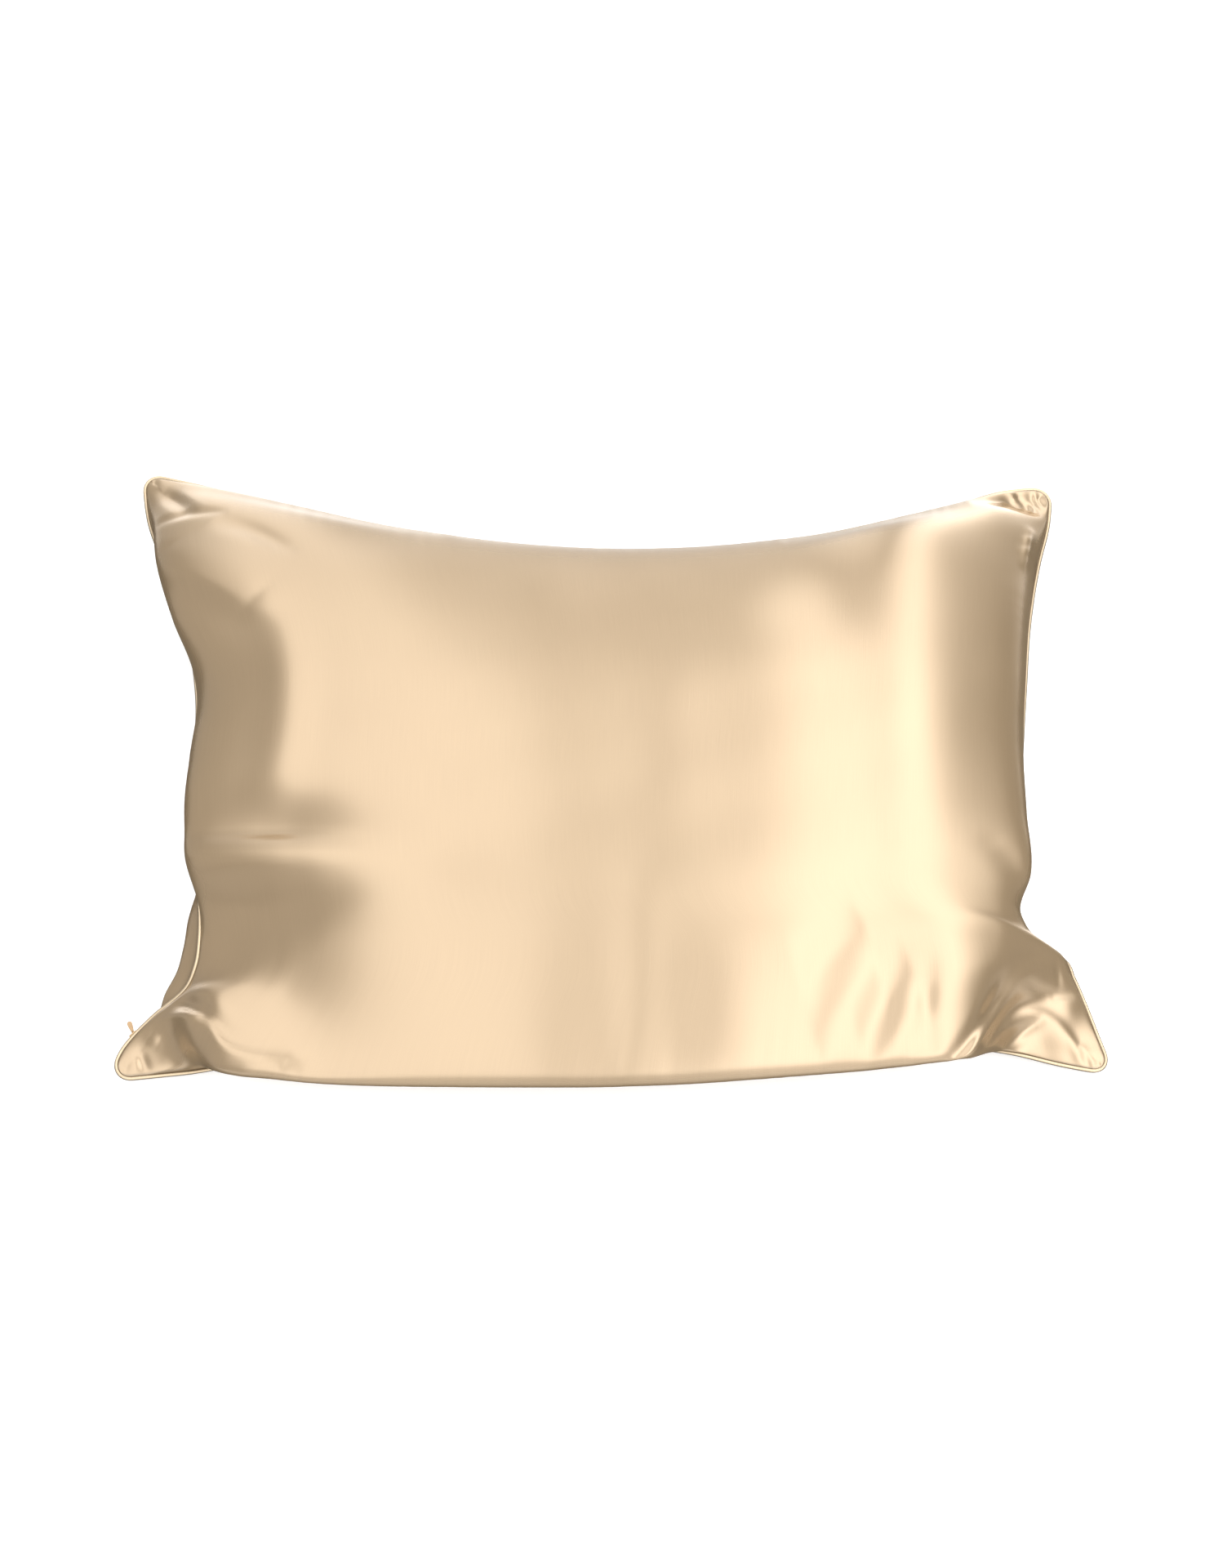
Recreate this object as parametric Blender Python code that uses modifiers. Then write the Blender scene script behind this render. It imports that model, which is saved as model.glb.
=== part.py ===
# A zipped, piped pillowcase filled by its pillow, lying on its back with its face up.
# X runs along the long sides, Y from the lower long side to the upper one, Z up.
# The seam line is set out by its four corners and a table of stations along each side.
# The front and back panels are spread between those sides and raised by the filling.

import math
from collections import namedtuple

import bmesh
import bpy
import numpy as np

COLLECTION_NAME = "pillowcase"

# Filling: how far the panels stand off the seam line, and how square their profile is.
CROWN_HEIGHT = 0.115
CROWN_SQUARENESS_X = 2.9
CROWN_SQUARENESS_Y = 2.4
BACK_DEPTH = 0.080
BACK_SQUARENESS = 2.1
FLOOR_EASE = 0.006

# Swells, hollows and folds fade out toward the seam, and hollows also where the crown is low.
SWELL_REACH = 0.006
CREASE_REACH = 0.008
HOLLOW_SHARE = 0.025

# Seam: two layers of cloth meet in a thin rim, rounded at the corners.
RIM_THICKNESS = 0.0024
CORNER_RADIUS = 0.016
SIDE_FADE = 5.0
SEAM_LENGTH_X = 0.740
SEAM_LENGTH_Y = 0.485
BULGE_REACH = 0.020

# Net of each panel: cells across and up, and how much they crowd toward the seams.
NET_CELLS_X = 48
NET_CELLS_Y = 34
EDGE_CROWDING = 0.78

# Trim: piping sewn into the seam, and the slider and pull of the zip hidden behind it.
PIPING_RADIUS = 0.00150
TRIM_GAP = 0.0004
SLIDER_STATION = 0.067
SLIDER_REACH = 0.010
SLIDER_LENGTH = 0.0080
SLIDER_WIDTH = 0.0042
SLIDER_HEIGHT = 0.0026
SLIDER_BEVEL = 0.0007
SLIDER_OFFSET = 0.0024
SLIDER_DROP = 0.0035
PULL_LENGTH = 0.0092
PULL_WIDTH = 0.0038
PULL_NECK = 0.0016
PULL_THICKNESS = 0.0010
PULL_SWING = math.radians(-22)
PULL_OUTLINE_POINTS = 9
PULL_WIDEST = 0.80

# Corners of the seam line in plan, with the height and reach of each flattened ear.
Corner = namedtuple("Corner", "x y height ear_reach ear_flatness")
LOWER_LEFT = Corner(-0.3738, -0.2370, 0.012, 0.070, 0.90)
LOWER_RIGHT = Corner(0.3767, -0.2315, 0.010, 0.105, 0.92)
UPPER_LEFT = Corner(-0.3749, 0.2588, 0.040, 0.040, 0.80)
UPPER_RIGHT = Corner(0.3552, 0.2475, 0.038, 0.040, 0.85)
CORNERS = (LOWER_LEFT, LOWER_RIGHT, UPPER_LEFT, UPPER_RIGHT)

# Stations along a side, from its first corner (0) to its second (1): how far the seam is drawn in
# from the straight line, its height, and how far each panel bulges out past it.
Station = namedtuple("Station", "at inset height front_bulge back_bulge")
LOWER_SIDE = (
    Station(0.000, 0.000, 0.012, 0.000, 0.000),
    Station(0.055, 0.004, 0.012, 0.000, 0.000),
    Station(0.080, 0.006, 0.012, 0.007, 0.000),
    Station(0.105, 0.009, 0.012, 0.027, 0.000),
    Station(0.130, 0.011, 0.012, 0.036, 0.000),
    Station(0.160, 0.013, 0.013, 0.041, 0.000),
    Station(0.350, 0.017, 0.015, 0.053, 0.000),
    Station(0.600, 0.020, 0.016, 0.054, 0.000),
    Station(0.700, 0.022, 0.016, 0.050, 0.000),
    Station(0.770, 0.023, 0.015, 0.046, 0.000),
    Station(0.820, 0.023, 0.014, 0.042, 0.000),
    Station(0.855, 0.021, 0.014, 0.036, 0.000),
    Station(0.900, 0.016, 0.014, 0.011, 0.000),
    Station(0.950, 0.007, 0.012, 0.002, 0.000),
    Station(1.000, 0.000, 0.010, 0.000, 0.000),
)
UPPER_SIDE = (
    Station(0.000, 0.000, 0.040, 0.000, 0.000),
    Station(0.060, 0.013, 0.046, 0.000, 0.000),
    Station(0.170, 0.036, 0.052, 0.000, 0.000),
    Station(0.310, 0.062, 0.054, 0.000, 0.000),
    Station(0.440, 0.076, 0.056, 0.000, 0.000),
    Station(0.560, 0.077, 0.055, 0.000, 0.000),
    Station(0.740, 0.059, 0.052, 0.000, 0.000),
    Station(0.890, 0.024, 0.047, 0.000, 0.000),
    Station(0.940, 0.009, 0.043, 0.000, 0.000),
    Station(1.000, 0.000, 0.038, 0.000, 0.000),
)
LEFT_SIDE = (
    Station(0.000, 0.000, 0.012, 0.000, 0.000),
    Station(0.050, 0.010, 0.013, 0.000, 0.000),
    Station(0.090, 0.030, 0.020, 0.000, 0.010),
    Station(0.130, 0.056, 0.031, 0.000, 0.033),
    Station(0.160, 0.0635, 0.038, 0.000, 0.032),
    Station(0.200, 0.0665, 0.044, 0.002, 0.029),
    Station(0.250, 0.066, 0.049, 0.010, 0.024),
    Station(0.300, 0.062, 0.051, 0.016, 0.010),
    Station(0.370, 0.058, 0.054, 0.015, 0.000),
    Station(0.470, 0.057, 0.056, 0.010, 0.000),
    Station(0.580, 0.057, 0.058, 0.005, 0.000),
    Station(0.700, 0.046, 0.055, 0.021, 0.000),
    Station(0.820, 0.025, 0.050, 0.018, 0.000),
    Station(0.910, 0.008, 0.043, 0.004, 0.000),
    Station(1.000, 0.000, 0.040, 0.000, 0.000),
)
RIGHT_SIDE = (
    Station(0.000, 0.000, 0.010, 0.000, 0.000),
    Station(0.050, 0.007, 0.011, 0.000, 0.000),
    Station(0.110, 0.016, 0.016, 0.002, 0.000),
    Station(0.150, 0.023, 0.020, 0.003, 0.000),
    Station(0.175, 0.030, 0.027, 0.004, 0.000),
    Station(0.195, 0.050, 0.033, 0.004, 0.000),
    Station(0.220, 0.064, 0.040, 0.009, 0.000),
    Station(0.280, 0.064, 0.052, 0.019, 0.000),
    Station(0.380, 0.058, 0.057, 0.013, 0.000),
    Station(0.500, 0.051, 0.058, 0.007, 0.000),
    Station(0.620, 0.042, 0.056, 0.005, 0.000),
    Station(0.740, 0.032, 0.050, 0.004, 0.000),
    Station(0.860, 0.017, 0.042, 0.000, 0.000),
    Station(0.930, 0.006, 0.039, 0.000, 0.000),
    Station(1.000, 0.000, 0.038, 0.000, 0.000),
)

# Swells and hollows of the front: where each peaks in plan, how far it reaches to each side before
# it fades, how square its ends are, the turn of its axes in degrees, and its height.
Lump = namedtuple("Lump", "x y left right down up edge turn height")
LUMPS = (
    Lump(-0.300, -0.140, 0.060, 0.040, 0.060, 0.050, 2, 0, -0.013),
    Lump(-0.256, -0.070, 0.140, 0.064, 0.013, 0.022, 2, -7, -0.014),
    Lump(-0.255, -0.146, 0.140, 0.074, 0.044, 0.036, 4, -6, -0.023),
    Lump(-0.309, -0.205, 0.014, 0.130, 0.040, 0.026, 2, 28, 0.013),
    Lump(-0.304, -0.186, 0.011, 0.030, 0.016, 0.018, 2, 0, 0.006),
    Lump(-0.290, -0.219, 0.026, 0.060, 0.018, 0.011, 2, 0, 0.008),
    Lump(0.235, 0.020, 0.040, 0.040, 0.140, 0.140, 2, 0, 0.005),
    Lump(-0.060, -0.190, 0.060, 0.060, 0.026, 0.026, 2, 0, 0.002),
    Lump(0.090, -0.180, 0.035, 0.035, 0.030, 0.030, 2, 0, 0.002),
    Lump(0.284, -0.160, 0.060, 0.034, 0.024, 0.052, 2, 0, 0.019),
    Lump(0.268, -0.208, 0.050, 0.022, 0.034, 0.028, 2, 0, 0.019),
    Lump(0.308, -0.208, 0.024, 0.050, 0.030, 0.022, 2, -15, -0.024),
    Lump(0.235, 0.165, 0.070, 0.052, 0.060, 0.050, 2, 0, 0.0085),
)

# Main folds of the front: a line in plan with its sideways bend, how far each flank reaches, and
# the height of the fold at its start, middle and end. Troughs are negative.
Fold = namedtuple("Fold", "x0 y0 x1 y1 bend left right start middle end")
FOLDS = (
    Fold(-0.292, 0.176, -0.243, -0.040, 0.024, 0.020, 0.020, 0.0005, 0.0035, 0.003),
    Fold(-0.150, -0.106, -0.310, -0.092, 0.000, 0.007, 0.009, 0.000, 0.003, 0.002),
    Fold(-0.328, -0.184, -0.302, -0.194, 0.000, 0.008, 0.006, -0.003, -0.008, -0.005),
    Fold(-0.330, -0.198, -0.225, -0.197, -0.004, 0.005, 0.014, 0.003, 0.006, 0.001),
    Fold(0.284, -0.192, 0.352, -0.214, 0.013, 0.006, 0.012, 0.002, 0.005, 0.002),
    Fold(0.280, -0.185, 0.312, -0.160, 0.002, 0.007, 0.007, -0.004, -0.003, -0.001),
    Fold(0.272, -0.088, 0.300, -0.132, 0.003, 0.009, 0.009, -0.001, -0.003, -0.001),
    Fold(-0.354, 0.234, -0.330, 0.207, 0.001, 0.008, 0.009, -0.002, -0.005, -0.003),
    Fold(-0.334, 0.158, -0.266, 0.102, 0.002, 0.026, 0.011, 0.003, 0.0085, 0.003),
    Fold(-0.300, 0.188, -0.240, 0.160, 0.002, 0.009, 0.008, 0.000, -0.0022, -0.001),
    Fold(-0.335, 0.240, -0.150, 0.184, 0.000, 0.015, 0.015, -0.003, -0.009, -0.002),
    Fold(0.300, 0.222, 0.130, 0.170, 0.000, 0.015, 0.015, -0.001, -0.008, -0.001),
    Fold(0.352, 0.234, 0.285, 0.224, 0.000, 0.010, 0.010, -0.004, -0.010, -0.001),
)


def blend_rows(rows, column, at):
    """Value of a table's column at each station, on a smooth curve through the rows."""
    stops = np.array([row.at for row in rows])
    values = np.array([getattr(row, column) for row in rows])
    slopes = np.gradient(values, stops)
    left = np.clip(np.searchsorted(stops, at, side="right") - 1, 0, len(stops) - 2)
    span = stops[left + 1] - stops[left]
    s = (at - stops[left]) / span
    start = values[left] * (1 + 2 * s) + slopes[left] * span * s
    end = values[left + 1] * (3 - 2 * s) - slopes[left + 1] * span * (1 - s)
    return start * (1 - s) ** 2 + end * s**2


def side_frame(first, second, turn):
    """Plan vectors along a side and inward from it. turn is +1 where inward is to the left."""
    along = np.array([second.x - first.x, second.y - first.y])
    inward = turn * np.array([-along[1], along[0]]) / np.linalg.norm(along)
    return along, inward


def side_points(first, second, turn, rows, at):
    """Points of the seam line along one side."""
    along, inward = side_frame(first, second, turn)
    inset = blend_rows(rows, "inset", at)
    x = first.x + along[0] * at + inward[0] * inset
    y = first.y + along[1] * at + inward[1] * inset
    return np.stack([x, y, blend_rows(rows, "height", at)], axis=-1)


def round_corners(across, up):
    """Pull the square corners of the cut in to quarter circles."""
    near_x = np.where(across < 0.5, across, 1 - across) * SEAM_LENGTH_X / CORNER_RADIUS
    near_y = np.where(up < 0.5, up, 1 - up) * SEAM_LENGTH_Y / CORNER_RADIUS
    p = np.clip(1 - near_x, 0, 1)
    q = np.clip(1 - near_y, 0, 1)
    shift_x = (p - p * np.sqrt(1 - q * q / 2)) * CORNER_RADIUS / SEAM_LENGTH_X
    shift_y = (q - q * np.sqrt(1 - p * p / 2)) * CORNER_RADIUS / SEAM_LENGTH_Y
    across = across + np.where(across < 0.5, shift_x, -shift_x)
    up = up + np.where(up < 0.5, shift_y, -shift_y)
    return across, up


def seam_sheet(across, up):
    """The smooth sheet spread between the four sides of the seam line.

    In plan it is a Coons patch. Its height runs from the lower side to the upper one, and follows
    the left and right sides only near them.
    """
    across, up = round_corners(across, up)
    lower = side_points(LOWER_LEFT, LOWER_RIGHT, 1, LOWER_SIDE, across)
    upper = side_points(UPPER_LEFT, UPPER_RIGHT, -1, UPPER_SIDE, across)
    left = side_points(LOWER_LEFT, UPPER_LEFT, -1, LEFT_SIDE, up)
    right = side_points(LOWER_RIGHT, UPPER_RIGHT, 1, RIGHT_SIDE, up)
    corners = [np.array([c.x, c.y, c.height]) for c in CORNERS]
    a = np.stack([across, across, across**SIDE_FADE], axis=-1)
    b = np.stack([1 - across, 1 - across, (1 - across) ** SIDE_FADE], axis=-1)
    v = up[..., None]
    left_gap = left - (1 - v) * corners[0] - v * corners[2]
    right_gap = right - (1 - v) * corners[1] - v * corners[3]
    return (1 - v) * lower + v * upper + b * left_gap + a * right_gap


def profile(position, squareness):
    """Rounded profile across the filling, 1 in the middle and 0 at both seams."""
    return np.sqrt(np.clip(1 - np.abs(2 * position - 1) ** squareness, 0, 1))


def ear_weight(points):
    """How much a point lies in one of the four flattened ears, from 0 to 1."""
    weight = np.zeros(points.shape[:-1])
    for corner in CORNERS:
        distance = np.hypot(points[..., 0] - corner.x, points[..., 1] - corner.y)
        weight = np.maximum(weight, corner.ear_flatness * np.exp(-((distance / corner.ear_reach) ** 2)))
    return weight


def bulge_shift(across, up, column):
    """Plan shift of a panel where it bulges out past the seam. column names the panel's bulge."""
    sides = (
        (LOWER_LEFT, LOWER_RIGHT, 1, LOWER_SIDE, across, up * SEAM_LENGTH_Y),
        (UPPER_LEFT, UPPER_RIGHT, -1, UPPER_SIDE, across, (1 - up) * SEAM_LENGTH_Y),
        (LOWER_LEFT, UPPER_LEFT, -1, LEFT_SIDE, up, across * SEAM_LENGTH_X),
        (LOWER_RIGHT, UPPER_RIGHT, 1, RIGHT_SIDE, up, (1 - across) * SEAM_LENGTH_X),
    )
    shift = np.zeros(across.shape + (2,))
    for first, second, turn, rows, at, distance in sides:
        _, inward = side_frame(first, second, turn)
        near = distance / BULGE_REACH
        swell = blend_rows(rows, column, at) * near * np.exp(1 - near)
        shift -= swell[..., None] * inward
    return shift


def lump_heights(points):
    """Heights of the swells and of the hollows of the front, at points in plan."""
    swell = np.zeros(points.shape[:-1])
    hollow = np.zeros(points.shape[:-1])
    for lump in LUMPS:
        turn = math.radians(lump.turn)
        from_x = points[..., 0] - lump.x
        from_y = points[..., 1] - lump.y
        u = from_x * math.cos(turn) + from_y * math.sin(turn)
        v = from_y * math.cos(turn) - from_x * math.sin(turn)
        reach_x = np.where(u < 0, lump.left, lump.right)
        reach_y = np.where(v < 0, lump.down, lump.up)
        height = lump.height * np.exp(-((u / reach_x) ** 2) - np.abs(v / reach_y) ** lump.edge)
        swell += np.maximum(height, 0)
        hollow += np.minimum(height, 0)
    return swell, hollow


def fold_heights(points):
    """Height of the folds above or below the smooth front, at points in plan."""
    total = np.zeros(points.shape[:-1])
    for fold in FOLDS:
        chord = np.array([fold.x1 - fold.x0, fold.y1 - fold.y0])
        length = np.linalg.norm(chord)
        chord /= length
        from_x = points[..., 0] - fold.x0
        from_y = points[..., 1] - fold.y0
        along = (from_x * chord[0] + from_y * chord[1]) / length
        s = np.clip(along, 0, 1)
        offset = from_y * chord[0] - from_x * chord[1] - 4 * fold.bend * s * (1 - s)
        ends = fold.start * (1 - s) * (1 - 2 * s) + fold.end * s * (2 * s - 1)
        height = ends + fold.middle * 4 * s * (1 - s)
        width = np.where(offset > 0, fold.left, fold.right)
        past_end = (along - s) * length / ((fold.left + fold.right) / 2)
        total += height * np.exp(-((offset / width) ** 2) - past_end**2)
    return total


def soft_floor(height):
    """Heights kept above the floor, easing into it and then exactly flat on it."""
    eased = (height + FLOOR_EASE) ** 2 / (4 * FLOOR_EASE)
    return np.where(height > FLOOR_EASE, height, np.where(height < -FLOOR_EASE, 0.0, eased))


def edge_distance(across, up):
    """Distance from a point of the panel to the nearest seam."""
    near_x = np.minimum(across, 1 - across) * SEAM_LENGTH_X
    near_y = np.minimum(up, 1 - up) * SEAM_LENGTH_Y
    return np.minimum(near_x, near_y)


def front_panel(across, up):
    """Front panel: the seam sheet raised by the crown, bulging past the seam, with its folds."""
    points = seam_sheet(across, up)
    crown = CROWN_HEIGHT * profile(across, CROWN_SQUARENESS_X) * profile(up, CROWN_SQUARENESS_Y)
    crown *= 1 - ear_weight(points)
    swell, hollow = lump_heights(points)
    folds = fold_heights(points)
    edge = edge_distance(across, up)
    points[..., :2] += bulge_shift(across, up, "front_bulge")
    points[..., 2] += RIM_THICKNESS / 2 + crown
    points[..., 2] += swell * (1 - np.exp(-edge / SWELL_REACH))
    points[..., 2] += hollow * (1 - np.exp(-crown / np.maximum(HOLLOW_SHARE, -hollow)))
    points[..., 2] += folds * (1 - np.exp(-edge / CREASE_REACH))
    return points


def back_panel(across, up):
    """Back panel: the seam sheet let down by the filling until it lies flat on the floor."""
    points = seam_sheet(across, up)
    ear = ear_weight(points)
    drop = BACK_DEPTH * profile(across, BACK_SQUARENESS) * profile(up, BACK_SQUARENESS)
    points[..., :2] += bulge_shift(across, up, "back_bulge")
    points[..., 2] -= RIM_THICKNESS / 2 + drop * (1 - ear)
    points[..., 2] = soft_floor(points[..., 2])
    return points


def crowded(position):
    """Grid position from 0 to 1, crowded toward both seams."""
    return (1 - EDGE_CROWDING) * position + EDGE_CROWDING * (1 - np.cos(math.pi * position)) / 2


def net_positions():
    """Positions of a panel's net points, rows going up and columns going across."""
    columns = crowded(np.linspace(0, 1, NET_CELLS_X + 1))
    rows = crowded(np.linspace(0, 1, NET_CELLS_Y + 1))
    return np.meshgrid(columns, rows)


def paint(obj, name, colour, roughness, metallic):
    """Give an object its own Principled material."""
    material = bpy.data.materials.new(name)
    material.use_nodes = True
    shader = material.node_tree.nodes["Principled BSDF"]
    shader.inputs["Base Color"].default_value = (*colour, 1.0)
    shader.inputs["Roughness"].default_value = roughness
    shader.inputs["Metallic"].default_value = metallic
    material.diffuse_color = (*colour, 1.0)
    obj.data.materials.append(material)


def place(name, data, collection):
    """Make an object of a mesh or curve and put it in the collection."""
    obj = bpy.data.objects.new(name, data)
    collection.objects.link(obj)
    return obj


def add_panel(net, surface, across, up):
    """Add one panel to the net as a grid and return its boundary edges."""
    grid = bmesh.ops.create_grid(net, x_segments=NET_CELLS_X, y_segments=NET_CELLS_Y, size=1.0)
    points = surface(across, up)
    for vert in grid["verts"]:
        column = round((vert.co.x + 1) / 2 * NET_CELLS_X)
        row = round((vert.co.y + 1) / 2 * NET_CELLS_Y)
        vert.co = points[row, column]
    members = set(grid["verts"])
    return [edge for edge in net.edges if edge.is_boundary and edge.verts[0] in members]


def build_case(collection):
    """The front and back panels, sewn at the rim, as one solid filled by the pillow."""
    across, up = net_positions()
    net = bmesh.new()
    front_rim = add_panel(net, front_panel, across, up)
    back_rim = add_panel(net, back_panel, across, up)
    bmesh.ops.bridge_loops(net, edges=front_rim + back_rim)
    bmesh.ops.recalc_face_normals(net, faces=net.faces)
    for face in net.faces:
        face.smooth = True
    mesh = bpy.data.meshes.new("case")
    net.to_mesh(mesh)
    net.free()
    case = place("case", mesh, collection)
    paint(case, "silk satin", (0.83, 0.64, 0.44), 0.32, 0.25)


def seam_loop():
    """Middle of the rim all the way round, counter-clockwise from the lower left corner."""
    across, up = net_positions()
    sheet = seam_sheet(across, up)
    return np.concatenate([sheet[0, :-1], sheet[:-1, -1], sheet[-1, :0:-1], sheet[:0:-1, 0]])


def outward_directions(ahead):
    """Unit plan vectors pointing out of the case, from the directions of a counter-clockwise path."""
    outward = np.stack([ahead[..., 1], -ahead[..., 0], np.zeros(ahead.shape[:-1])], axis=-1)
    return outward / np.linalg.norm(outward, axis=-1, keepdims=True)


def build_piping(collection):
    """Bias-cut piping sewn into the seam, one closed loop around the case."""
    loop = seam_loop()
    ahead = np.roll(loop, -1, axis=0) - np.roll(loop, 1, axis=0)
    path = loop + outward_directions(ahead) * (PIPING_RADIUS + TRIM_GAP)
    curve = bpy.data.curves.new("piping", "CURVE")
    curve.dimensions = "3D"
    curve.bevel_depth = PIPING_RADIUS
    curve.bevel_resolution = 2
    spline = curve.splines.new("POLY")
    spline.points.add(len(path) - 1)
    for point, position in zip(spline.points, path):
        point.co = (*position, 1.0)
    spline.use_cyclic_u = True
    piping = place("piping", curve, collection)
    paint(piping, "piping satin", (0.92, 0.82, 0.66), 0.30, 0.20)


def slider_frame():
    """Place of the slider on the left seam, with unit vectors along the seam and out of it."""
    stations = np.array([SLIDER_STATION + SLIDER_REACH, SLIDER_STATION, SLIDER_STATION - SLIDER_REACH])
    upper, middle, lower = seam_sheet(np.zeros(3), stations)
    along = (lower - upper) / np.linalg.norm(lower - upper)
    outward = outward_directions(along)
    centre = middle + outward * SLIDER_OFFSET
    centre[2] -= SLIDER_DROP
    return centre, along, outward


def build_slider(collection):
    """Zip slider body, tucked under the piping."""
    centre, along, _ = slider_frame()
    body = bmesh.new()
    bmesh.ops.create_cube(body, size=1.0)
    bmesh.ops.scale(body, vec=(SLIDER_LENGTH, SLIDER_WIDTH, SLIDER_HEIGHT), verts=body.verts)
    mesh = bpy.data.meshes.new("zip_slider")
    body.to_mesh(mesh)
    body.free()
    slider = place("zip_slider", mesh, collection)
    slider.location = centre
    slider.rotation_euler = (0.0, -math.asin(along[2]), math.atan2(along[1], along[0]))
    rounding = slider.modifiers.new("rounding", "BEVEL")
    rounding.width = SLIDER_BEVEL
    rounding.segments = 2
    paint(slider, "zip metal", (0.62, 0.42, 0.22), 0.35, 0.8)


def build_pull(collection):
    """Teardrop pull tab lying flat, pointing out from the slider."""
    centre, _, outward = slider_frame()
    curve = bpy.data.curves.new("zip_pull", "CURVE")
    curve.dimensions = "2D"
    curve.fill_mode = "BOTH"
    curve.extrude = PULL_THICKNESS / 2
    spline = curve.splines.new("POLY")
    stations = np.linspace(0, 1, PULL_OUTLINE_POINTS)
    swell = np.sin(math.pi / 2 * stations / PULL_WIDEST)
    half_width = (PULL_NECK + (PULL_WIDTH - PULL_NECK) * swell) / 2
    half_width[-1] = PULL_NECK / 2
    upper = np.stack([stations * PULL_LENGTH, half_width], axis=-1)
    lower = upper[::-1] * np.array([1, -1])
    outline = np.concatenate([lower, upper])
    spline.points.add(len(outline) - 1)
    for point, (x, y) in zip(spline.points, outline):
        point.co = (x, y, 0.0, 1.0)
    spline.use_cyclic_u = True
    pull = place("zip_pull", curve, collection)
    pull.location = centre + outward * (SLIDER_WIDTH / 2 + TRIM_GAP)
    pull.rotation_euler = (0.0, 0.0, math.atan2(outward[1], outward[0]) + PULL_SWING)
    paint(pull, "pull tab", (0.62, 0.38, 0.18), 0.4, 0.3)


def main():
    for obj in list(bpy.data.objects):
        bpy.data.objects.remove(obj, do_unlink=True)
    collection = bpy.data.collections.new(COLLECTION_NAME)
    bpy.context.scene.collection.children.link(collection)
    build_case(collection)
    build_piping(collection)
    build_slider(collection)
    build_pull(collection)


main()
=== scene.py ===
import math
from collections import namedtuple

import bmesh
import bpy
import numpy as np
from mathutils import Matrix, Vector


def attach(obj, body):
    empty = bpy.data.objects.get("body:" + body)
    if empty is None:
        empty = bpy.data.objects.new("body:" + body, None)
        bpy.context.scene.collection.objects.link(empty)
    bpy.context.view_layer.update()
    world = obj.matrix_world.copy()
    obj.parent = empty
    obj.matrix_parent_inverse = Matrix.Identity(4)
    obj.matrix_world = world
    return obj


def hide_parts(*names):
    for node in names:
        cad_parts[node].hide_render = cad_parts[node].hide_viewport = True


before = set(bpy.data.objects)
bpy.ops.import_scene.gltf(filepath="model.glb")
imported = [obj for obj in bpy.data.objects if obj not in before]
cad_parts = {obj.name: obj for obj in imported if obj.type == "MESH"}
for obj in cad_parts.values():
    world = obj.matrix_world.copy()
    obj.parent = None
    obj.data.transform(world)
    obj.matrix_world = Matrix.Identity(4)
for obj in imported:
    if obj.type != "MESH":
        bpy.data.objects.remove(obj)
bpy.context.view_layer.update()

# All sizes are in metres, except where a note says otherwise.
# The seam line's four corners in plan. earReach and earFlatness say how far in the ear at a corner
# goes, and how much it flattens the crown.
corner = namedtuple("corner", "x y height earReach earFlatness")
lowerLeft = corner(-0.3738, -0.2370, 0.012, 0.070, 0.90)
lowerRight = corner(0.3767, -0.2315, 0.010, 0.105, 0.92)
upperLeft = corner(-0.3749, 0.2588, 0.040, 0.040, 0.80)
upperRight = corner(0.3552, 0.2475, 0.038, 0.040, 0.85)
corners = (lowerLeft, lowerRight, upperLeft, upperRight)

# Stations along each side of the filled case, from its left or lower corner (0) to the other (1).
# inset is how far the side is drawn in there, height is the seam's own, and the bulges are how far
# the front and the back panel swell out past the seam.
station = namedtuple("station", "at inset height frontBulge backBulge")
lowerSide = (
    station(0.000, 0.000, 0.012, 0.000, 0.000),
    station(0.055, 0.004, 0.012, 0.000, 0.000),
    station(0.080, 0.006, 0.012, 0.007, 0.000),
    station(0.105, 0.009, 0.012, 0.027, 0.000),
    station(0.130, 0.011, 0.012, 0.036, 0.000),
    station(0.160, 0.013, 0.013, 0.041, 0.000),
    station(0.350, 0.017, 0.015, 0.053, 0.000),
    station(0.600, 0.020, 0.016, 0.054, 0.000),
    station(0.700, 0.022, 0.016, 0.050, 0.000),
    station(0.770, 0.023, 0.015, 0.046, 0.000),
    station(0.820, 0.023, 0.014, 0.042, 0.000),
    station(0.855, 0.021, 0.014, 0.036, 0.000),
    station(0.900, 0.016, 0.014, 0.011, 0.000),
    station(0.950, 0.007, 0.012, 0.002, 0.000),
    station(1.000, 0.000, 0.010, 0.000, 0.000),
)
upperSide = (
    station(0.000, 0.000, 0.040, 0.000, 0.000),
    station(0.060, 0.013, 0.046, 0.000, 0.000),
    station(0.170, 0.036, 0.052, 0.000, 0.000),
    station(0.310, 0.062, 0.054, 0.000, 0.000),
    station(0.440, 0.076, 0.056, 0.000, 0.000),
    station(0.560, 0.077, 0.055, 0.000, 0.000),
    station(0.740, 0.059, 0.052, 0.000, 0.000),
    station(0.890, 0.024, 0.047, 0.000, 0.000),
    station(0.940, 0.009, 0.043, 0.000, 0.000),
    station(1.000, 0.000, 0.038, 0.000, 0.000),
)
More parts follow.
